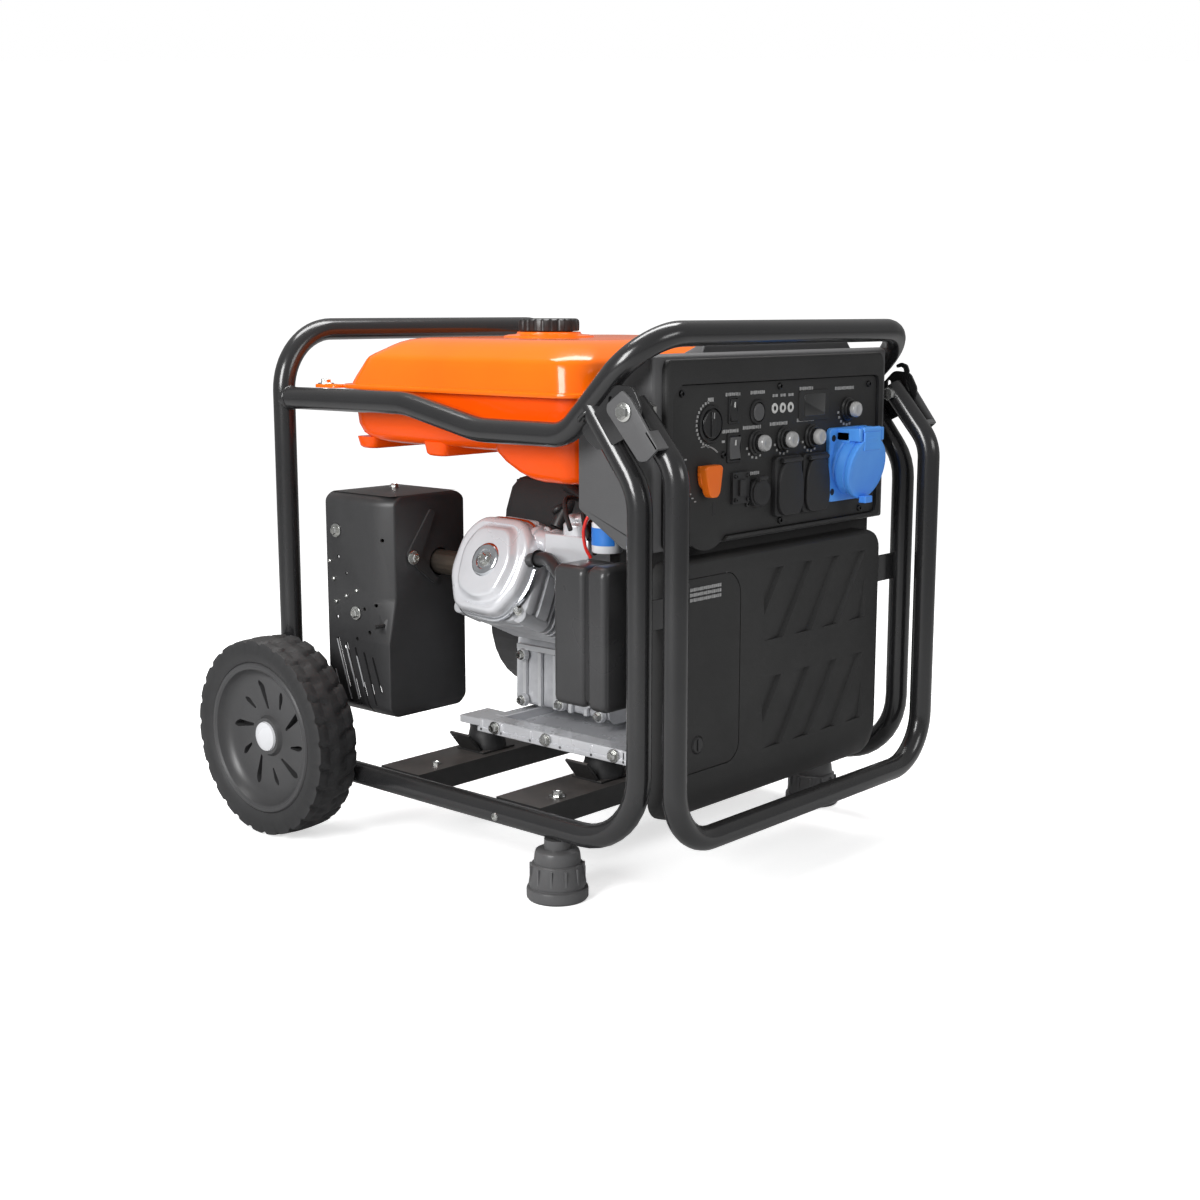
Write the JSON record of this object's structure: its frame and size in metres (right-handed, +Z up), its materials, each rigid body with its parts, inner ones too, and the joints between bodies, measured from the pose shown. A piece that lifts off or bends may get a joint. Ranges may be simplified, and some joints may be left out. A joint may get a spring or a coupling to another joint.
{
  "type": "portable generator",
  "caption": "Open-frame portable inverter generator with fuel tank, engine, socket panel, rear wheels, front feet and a folding pull handle.",
  "frame": {"origin": "on the floor, at the middle of the plan outline", "axes": "+Z up; the control panel and the pull handle face -Y; the wheels are at +Y; the cylinder head side faces -X"},
  "size_m": [0.612, 0.674, 0.586],
  "materials": {
    "frame_black": "semi-gloss black powder coat",
    "latch_black": "black coated steel leaf",
    "axle_steel": "zinc plated steel",
    "tyre_rubber": "matt black solid rubber",
    "rim_plastic": "dark grey moulded plastic",
    "foot_rubber": "matt dark rubber",
    "tank_orange": "glossy orange paint",
    "cap_black": "ribbed black plastic",
    "cast_aluminium": "sand cast, bead blasted",
    "head_cover_silver": "silver painted pressing",
    "hose_black": "black rubber",
    "airbox_grey": "dark grey moulded plastic",
    "rotor_steel": "machined steel",
    "shroud_black": "black painted sheet",
    "muffler_steel": "heat-tinted steel",
    "box_plastic": "fine-textured dark plastic",
    "control_black": "black plastic",
    "breaker_clear": "black button under a translucent boot",
    "lever_orange": "orange moulded plastic",
    "cee_blue": "blue moulded plastic",
    "battery_case": "black battery case",
    "heatsink": "extruded aluminium"
  },
  "bodies": {
    "frame": {"left_side_tube": "frame_black", "right_side_tube": "frame_black", "rear_hoop_tube": "frame_black", "upper_hoop_tube": "frame_black", "front_crossmember": "frame_black", "rear_crossmember": "frame_black", "left_axle": "axle_steel", "right_axle": "axle_steel", "left_foot": "foot_rubber", "right_foot": "foot_rubber", "mount_front_left": "foot_rubber", "mount_front_right": "foot_rubber", "mount_rear_left": "foot_rubber", "mount_rear_right": "foot_rubber", "fuel_tank": "tank_orange", "crankcase": "cast_aluminium", "cylinder": "cast_aluminium", "cylinder_head": "cast_aluminium", "engine_base": "cast_aluminium", "alternator_housing": "cast_aluminium", "carburettor": "cast_aluminium", "head_cover": "head_cover_silver", "spark_plug_cap": "hose_black", "breather_hose": "hose_black", "airbox_body": "airbox_grey", "airbox_cover": "airbox_grey", "blower_shroud": "shroud_black", "muffler_guard": "shroud_black", "muffler": "muffler_steel", "control_housing": "box_plastic", "panel_plate": "box_plastic", "front_cover": "box_plastic", "cee_socket": "cee_blue", "battery": "battery_case", "inverter_module": "heatsink"},
    "left_wheel": {"left_tyre": "tyre_rubber", "left_rim": "rim_plastic"},
    "right_wheel": {"right_tyre": "tyre_rubber", "right_rim": "rim_plastic"},
    "handle": {"handle_tube": "frame_black"},
    "latch": {"handle_latch": "latch_black"},
    "cap": {"fuel_cap": "cap_black"},
    "crank": {"crankshaft": "rotor_steel", "alternator_rotor": "rotor_steel"},
    "oil_cap": {"oil_filler_cap": "cap_black"},
    "lever": {"engine_lever": "lever_orange"},
    "start": {"start_button": "control_black"},
    "rocker": {"rocker_switch": "control_black"},
    "engine_rocker": {"engine_switch": "control_black"},
    "dial": {"mode_dial": "control_black"},
    "breaker_1_button": {"breaker_1": "breaker_clear"},
    "breaker_2_button": {"breaker_2": "breaker_clear"},
    "breaker_3_button": {"breaker_3": "breaker_clear"},
    "main_breaker_button": {"main_breaker": "breaker_clear"},
    "left_flap": {"schuko_flap_left": "control_black"},
    "right_flap": {"schuko_flap_right": "control_black"},
    "cee_cover": {"cee_lid": "cee_blue"},
    "dc_cover": {"dc_flap": "control_black"},
    "door": {"battery_door": "box_plastic"},
    "latch_knob": {"door_latch": "box_plastic"}
  },
  "joints": [
    {"name": "left_wheel_spin", "type": "hinge", "parent": "frame", "child": "left_wheel", "pos_m": [-0.27815, 0.223, 0.114], "axis": [1, 0, 0], "continuous": true},
    {"name": "right_wheel_spin", "type": "hinge", "parent": "frame", "child": "right_wheel", "pos_m": [0.27815, 0.223, 0.114], "axis": [1, 0, 0], "continuous": true},
    {"name": "handle_fold", "type": "hinge", "parent": "frame", "child": "handle", "pos_m": [0, -0.279, 0.502], "axis": [-1, 0, 0], "range_deg": [0, 90]},
    {"name": "handle_latch_pivot", "type": "hinge", "parent": "frame", "child": "latch", "pos_m": [0.2384, -0.279, 0.502], "axis": [1, 0, 0], "range_deg": [0, 12]},
    {"name": "fuel_cap_turn", "type": "hinge", "parent": "frame", "child": "cap", "pos_m": [-0.03, 0.022, 0.578], "axis": [0, 0, 1], "range_deg": [0, 90]},
    {"name": "crank_spin", "type": "hinge", "parent": "frame", "child": "crank", "pos_m": [0.035, 0, 0.23], "axis": [0, 1, 0], "continuous": true},
    {"name": "oil_cap_turn", "type": "hinge", "parent": "frame", "child": "oil_cap", "pos_m": [-0.0624, -0.06, 0.172], "axis": [-1, 0, 0], "range_deg": [0, 180]},
    {"name": "engine_lever_turn", "type": "hinge", "parent": "frame", "child": "lever", "pos_m": [-0.127, -0.2817, 0.432], "axis": [0, -1, 0], "range_deg": [-60, 30]},
    {"name": "mode_dial_turn", "type": "hinge", "parent": "frame", "child": "dial", "pos_m": [-0.119, -0.2817, 0.4845], "axis": [0, -1, 0], "range_deg": [-90, 90]},
    {"name": "rocker_switch_tilt", "type": "hinge", "parent": "frame", "child": "rocker", "pos_m": [-0.081, -0.2795, 0.459], "axis": [1, 0, 0], "range_deg": [-7, 7]},
    {"name": "engine_switch_tilt", "type": "hinge", "parent": "frame", "child": "engine_rocker", "pos_m": [-0.083, -0.2795, 0.497], "axis": [1, 0, 0], "range_deg": [-7, 7]},
    {"name": "start_button_press", "type": "slide", "parent": "frame", "child": "start", "axis": [0, 1, 0], "range_m": [0, 0.0025], "stiffness_N_per_m": 400},
    {"name": "breaker_1_press", "type": "slide", "parent": "frame", "child": "breaker_1_button", "axis": [0, 1, 0], "range_m": [0, 0.003], "stiffness_N_per_m": 400},
    {"name": "breaker_2_press", "type": "slide", "parent": "frame", "child": "breaker_2_button", "axis": [0, 1, 0], "range_m": [0, 0.003], "stiffness_N_per_m": 400},
    {"name": "breaker_3_press", "type": "slide", "parent": "frame", "child": "breaker_3_button", "axis": [0, 1, 0], "range_m": [0, 0.003], "stiffness_N_per_m": 400},
    {"name": "main_breaker_press", "type": "slide", "parent": "frame", "child": "main_breaker_button", "axis": [0, 1, 0], "range_m": [0, 0.003], "stiffness_N_per_m": 400},
    {"name": "schuko_flap_left_hinge", "type": "hinge", "parent": "frame", "child": "left_flap", "pos_m": [0.008, -0.2906, 0.4415], "axis": [-1, 0, 0], "range_deg": [0, 110]},
    {"name": "schuko_flap_right_hinge", "type": "hinge", "parent": "frame", "child": "right_flap", "pos_m": [0.057, -0.2906, 0.4415], "axis": [-1, 0, 0], "range_deg": [0, 110]},
    {"name": "cee_lid_hinge", "type": "hinge", "parent": "frame", "child": "cee_cover", "pos_m": [0.121, -0.3135, 0.468], "axis": [-1, 0, 0], "range_deg": [0, 100]},
    {"name": "dc_flap_hinge", "type": "hinge", "parent": "frame", "child": "dc_cover", "pos_m": [-0.043, -0.2904, 0.426], "axis": [-1, 0, 0], "range_deg": [0, 110]},
    {"name": "battery_door_hinge", "type": "hinge", "parent": "frame", "child": "door", "pos_m": [-0.073, -0.287, 0.235], "axis": [0, 0, 1], "range_deg": [0, 100]},
    {"name": "door_latch_turn", "type": "hinge", "parent": "door", "child": "latch_knob", "pos_m": [-0.142, -0.287, 0.164], "axis": [0, -1, 0], "range_deg": [0, 90]}
  ]
}
